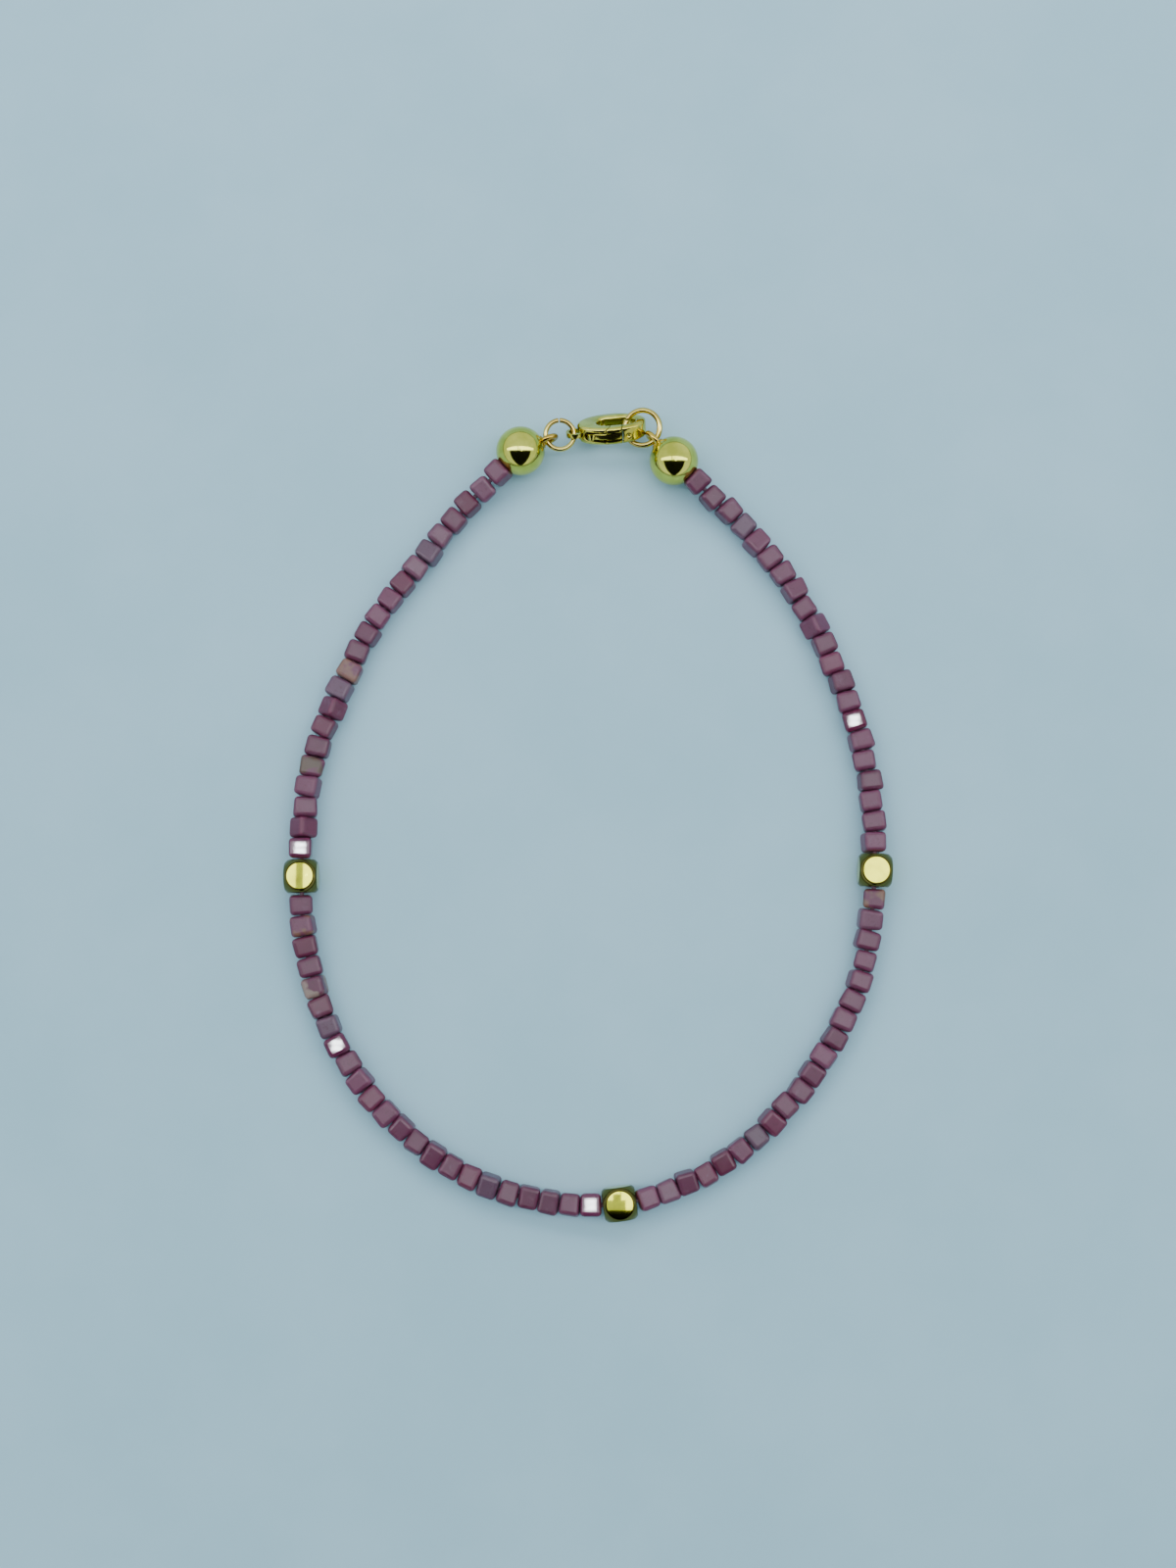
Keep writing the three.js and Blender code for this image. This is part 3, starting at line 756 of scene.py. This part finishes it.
clasp_length, clasp_height, clasp_thickness, clasp_rounding = 7.15, 3.8, 1.6, 0.3
loop_diameter, loop_hole, loop_thickness, loop_overlap = 1.6, 1.1, 0.4, 0.55
clasp_arm, throat_length, beak_start = 0.95, 3.4, 5.05
clasp_lean, clasp_turn, loop_slack = math.radians(36), math.radians(5), 0.08
lever_gap, head_reach, tail_length, tail_thickness, tail_rounding = 0.08, 1.65, 1.45, 0.54, 0.1
knob_diameter, knob_depth, knuckle_diameter, groove_depth = 0.7, 0.52, 1.1, 0.55
pin_diameter, pin_depth, slot_depth, slot_end_gap = 0.45, 0.62, 1.5, 0.3
dimple_radius, dimple_place = 0.3, (5.53, 3.66, 0.12)
body_softness, lever_softness = 0.05, 0.04
deep_cut = 20

body_start = loop_diameter - loop_overlap
body_middle = Vector(((clasp_length + body_start) / 2, clasp_height / 2))
throat_end = clasp_length - clasp_arm
throat_radius = clasp_height / 2 - clasp_arm
pivot = Vector((beak_start - lever_gap - head_reach, clasp_height - pin_depth))
tail_end = pivot.x - tail_length
slot_floor = clasp_height - slot_depth
lift = (clasp_rounding * (1 - math.cos(clasp_lean))
        + (clasp_thickness / 2 - clasp_rounding) * math.sin(clasp_lean))
loop_centre = Vector((loop_diameter / 2, (ball_radius - lift) / math.cos(clasp_lean), 0))
loop_reach = (left_ring_diameter - left_ring_wire) / 2 + loop_slack
clasp_line = Vector((math.cos(clasp_turn), math.sin(clasp_turn), 0))
loop_place = middle_mm("jump_ring_left") + loop_reach * clasp_line
stood_up = Matrix.Rotation(math.pi / 2 + clasp_lean, 4, "X")
clasp_turned = Matrix.Rotation(clasp_turn, 4, "Z") @ stood_up
clasp_place = Matrix.Translation(loop_place) @ clasp_turned @ Matrix.Translation(-loop_centre)

clasp_gold = polished_gold("clasp_gold", rgb(216, 206, 104), rgb(182, 168, 64), 0.12)


def block(x_from, x_to, y_from, y_to, thickness, z=0):
    """A plain block between these places along x and y, around this height z."""
    start_piece()
    bpy.ops.mesh.primitive_cube_add(size=1, location=((x_from + x_to) / 2, (y_from + y_to) / 2, z))
    made = bpy.context.object
    made.scale = (x_to - x_from, y_to - y_from, thickness)
    bpy.ops.object.transform_apply(location=True, rotation=True, scale=True)
    return made


def clasp_blank(name, thickness, rounding):
    """The clasp's outline with its throat cut through, and its long edges rounded."""
    start_piece()
    bpy.ops.mesh.primitive_cylinder_add(vertices=96, radius=1, depth=thickness,
                                        location=(*body_middle, 0))
    blank = bpy.context.object
    blank.name = name
    blank.scale = ((clasp_length - body_start) / 2, clasp_height / 2, 1)
    bpy.ops.object.transform_apply(location=True, rotation=True, scale=True)
    throat_middle = throat_end - throat_length / 2
    throat = round_bar(2 * throat_radius, deep_cut, throat_middle, body_middle.y, 64)
    half_straight = throat_length / 2 - throat_radius
    for vertex in throat.data.vertices:
        vertex.co.x += half_straight if vertex.co.x > throat_middle else -half_straight
    combine(blank, "DIFFERENCE", throat)
    round_edges(blank, rounding, 4, 50)
    return blank


def gate(gap):
    """The space between the lever's knuckle and the beak, whose faces are both round its pin."""
    made = round_bar(2 * (head_reach + gap), deep_cut, *pivot, 96)
    combine(made, "INTERSECT", block(pivot.x, clasp_length, body_middle.y + throat_radius / 2,
                                     deep_cut, deep_cut))
    knuckle_room = knuckle_diameter + 2 * (lever_gap - gap)
    combine(made, "DIFFERENCE", round_bar(knuckle_room, 2 * deep_cut, *pivot))
    return made


body = clasp_blank("polished_clasp_body", clasp_thickness, clasp_rounding)
combine(body, "DIFFERENCE", gate(lever_gap))
slot_width = tail_thickness + 4 * lever_gap
slot_start = tail_end - slot_end_gap + slot_width / 2
slot_end = round_bar(slot_width, deep_cut)
slot_end.rotation_euler = (math.pi / 2, 0, 0)
slot_end.location = (slot_start, slot_floor + deep_cut / 2, 0)
combine(body, "DIFFERENCE", slot_end)
combine(body, "DIFFERENCE", block(slot_start, beak_start, slot_floor, deep_cut, slot_width))
combine(body, "UNION", round_bar(loop_diameter, loop_thickness, *loop_centre.xy))
combine(body, "DIFFERENCE", round_bar(loop_hole, deep_cut, *loop_centre.xy))
combine(body, "UNION", round_bar(pin_diameter, clasp_thickness, *pivot, 32))
start_piece()
bpy.ops.mesh.primitive_uv_sphere_add(segments=32, ring_count=16, radius=dimple_radius,
                                     location=dimple_place)
combine(body, "DIFFERENCE", bpy.context.object)
round_edges(body, body_softness, 2, 50)
to_frame(body, clasp_place)
bpy.ops.object.shade_smooth_by_angle(angle=math.radians(35))
body.data.materials.append(clasp_gold)
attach(body, "bracelet")
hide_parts("clasp_body")

lever = clasp_blank("polished_clasp_lever", tail_thickness, tail_rounding)
combine(lever, "INTERSECT", block(tail_end, pivot.x + head_reach / 2, slot_floor + lever_gap,
                                  deep_cut, deep_cut))
head = clasp_blank("lever_head", clasp_thickness, clasp_rounding)
combine(head, "INTERSECT", gate(0))
groove_middle = (tail_thickness + lever_gap) / 2
for z in (-groove_middle, groove_middle):
    combine(head, "DIFFERENCE", block(pivot.x, beak_start, clasp_height - groove_depth, deep_cut,
                                      lever_gap, z))
combine(lever, "UNION", head)
combine(lever, "UNION", round_bar(knob_diameter, tail_thickness, tail_end + knob_diameter / 2,
                                  clasp_height - knob_depth))
combine(lever, "DIFFERENCE", round_bar(pin_diameter + 2 * lever_gap, deep_cut, *pivot))
round_edges(lever, lever_softness, 2, 50)
to_frame(lever, clasp_place)
bpy.ops.object.shade_smooth_by_angle(angle=math.radians(35))
lever.data.materials.append(clasp_gold)
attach(lever, "lever")
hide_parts("clasp_lever")
